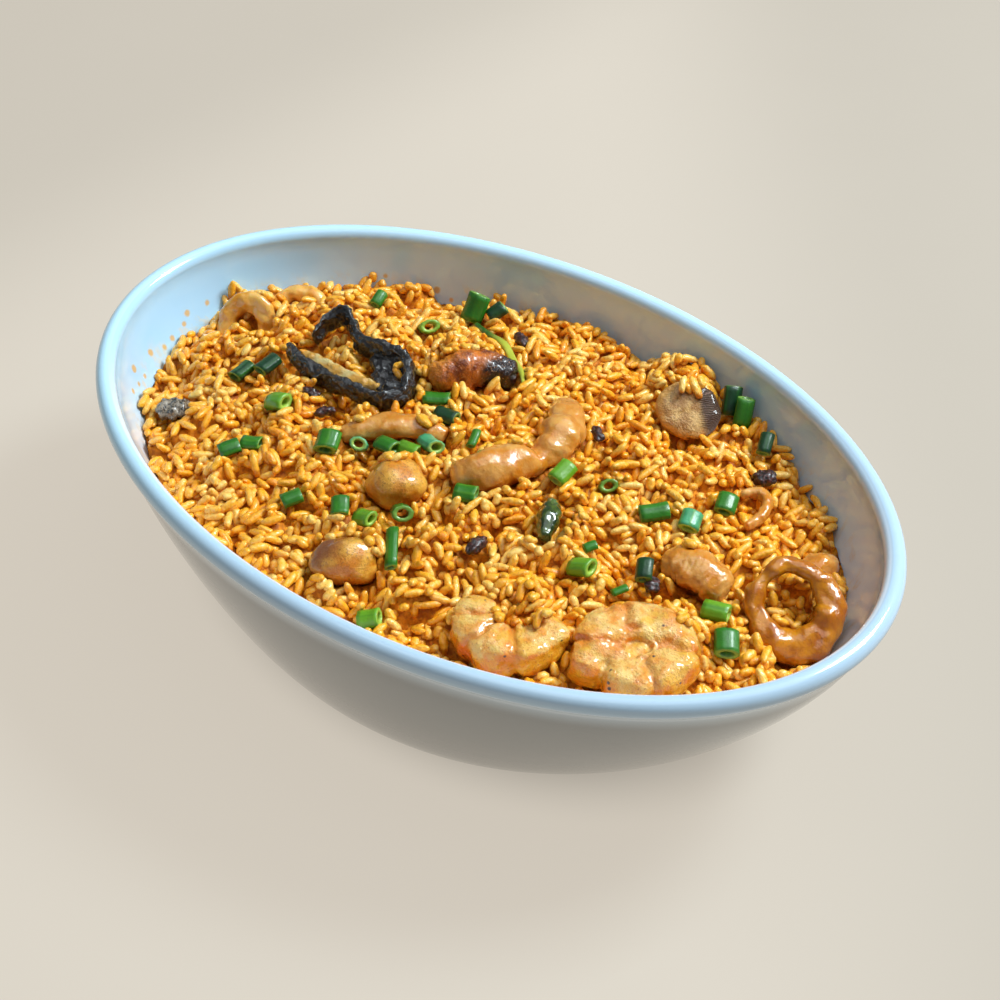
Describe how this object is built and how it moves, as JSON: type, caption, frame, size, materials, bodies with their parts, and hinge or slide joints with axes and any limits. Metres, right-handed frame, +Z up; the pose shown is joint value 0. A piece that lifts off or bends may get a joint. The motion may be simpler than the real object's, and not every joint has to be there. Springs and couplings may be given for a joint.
{
  "type": "bowl of seafood fried rice",
  "caption": "Oval white bowl heaped with orange-yellow fried rice, with shrimp, squid, mushroom, black tree fungus and cuts of green onion on top.",
  "frame": {"origin": "centre of the underside of the foot ring, on the surface that the bowl stands on", "axes": "+X along the oval's long axis, +Y along its short axis, +Z up out of the bowl's mouth"},
  "size_m": [0.25, 0.165, 0.064],
  "materials": {
    "bowl": "pale blue-white glazed ceramic",
    "rice": "cooked orange-yellow rice with an oily sheen, green onion cuts and dark bits",
    "shrimp": "cooked shrimp, pinkish white with orange edges",
    "shrimp_brown": "browned shrimp, glossy red-brown",
    "squid": "cooked squid, glossy pale tan",
    "clear_strip": "cooked onion, see-through amber",
    "round": "cooked button mushroom, glossy yellow-tan",
    "mushroom_slice": "sliced mushroom, grey-tan with dark gills",
    "black_fungus": "glossy black tree fungus with a cream edge",
    "grey_piece": "grey cooked mushroom piece",
    "green_pepper": "dark green pepper, glossy"
  },
  "bodies": {
    "root": {"bowl": "bowl", "rice": "rice", "shrimp_curled": "shrimp", "shrimp_bent": "shrimp", "shrimp_back": "shrimp_brown", "squid_ring": "squid", "squid_tip": "squid", "squid_fold": "squid", "squid_barrel": "squid", "squid_flat": "squid", "squid_hook": "squid", "arch_piece": "clear_strip", "back_strip": "clear_strip", "round_middle": "round", "round_left": "round", "mushroom_slice": "mushroom_slice", "black_fungus": "black_fungus", "grey_piece": "grey_piece", "green_pepper": "green_pepper"}
  },
  "joints": []
}
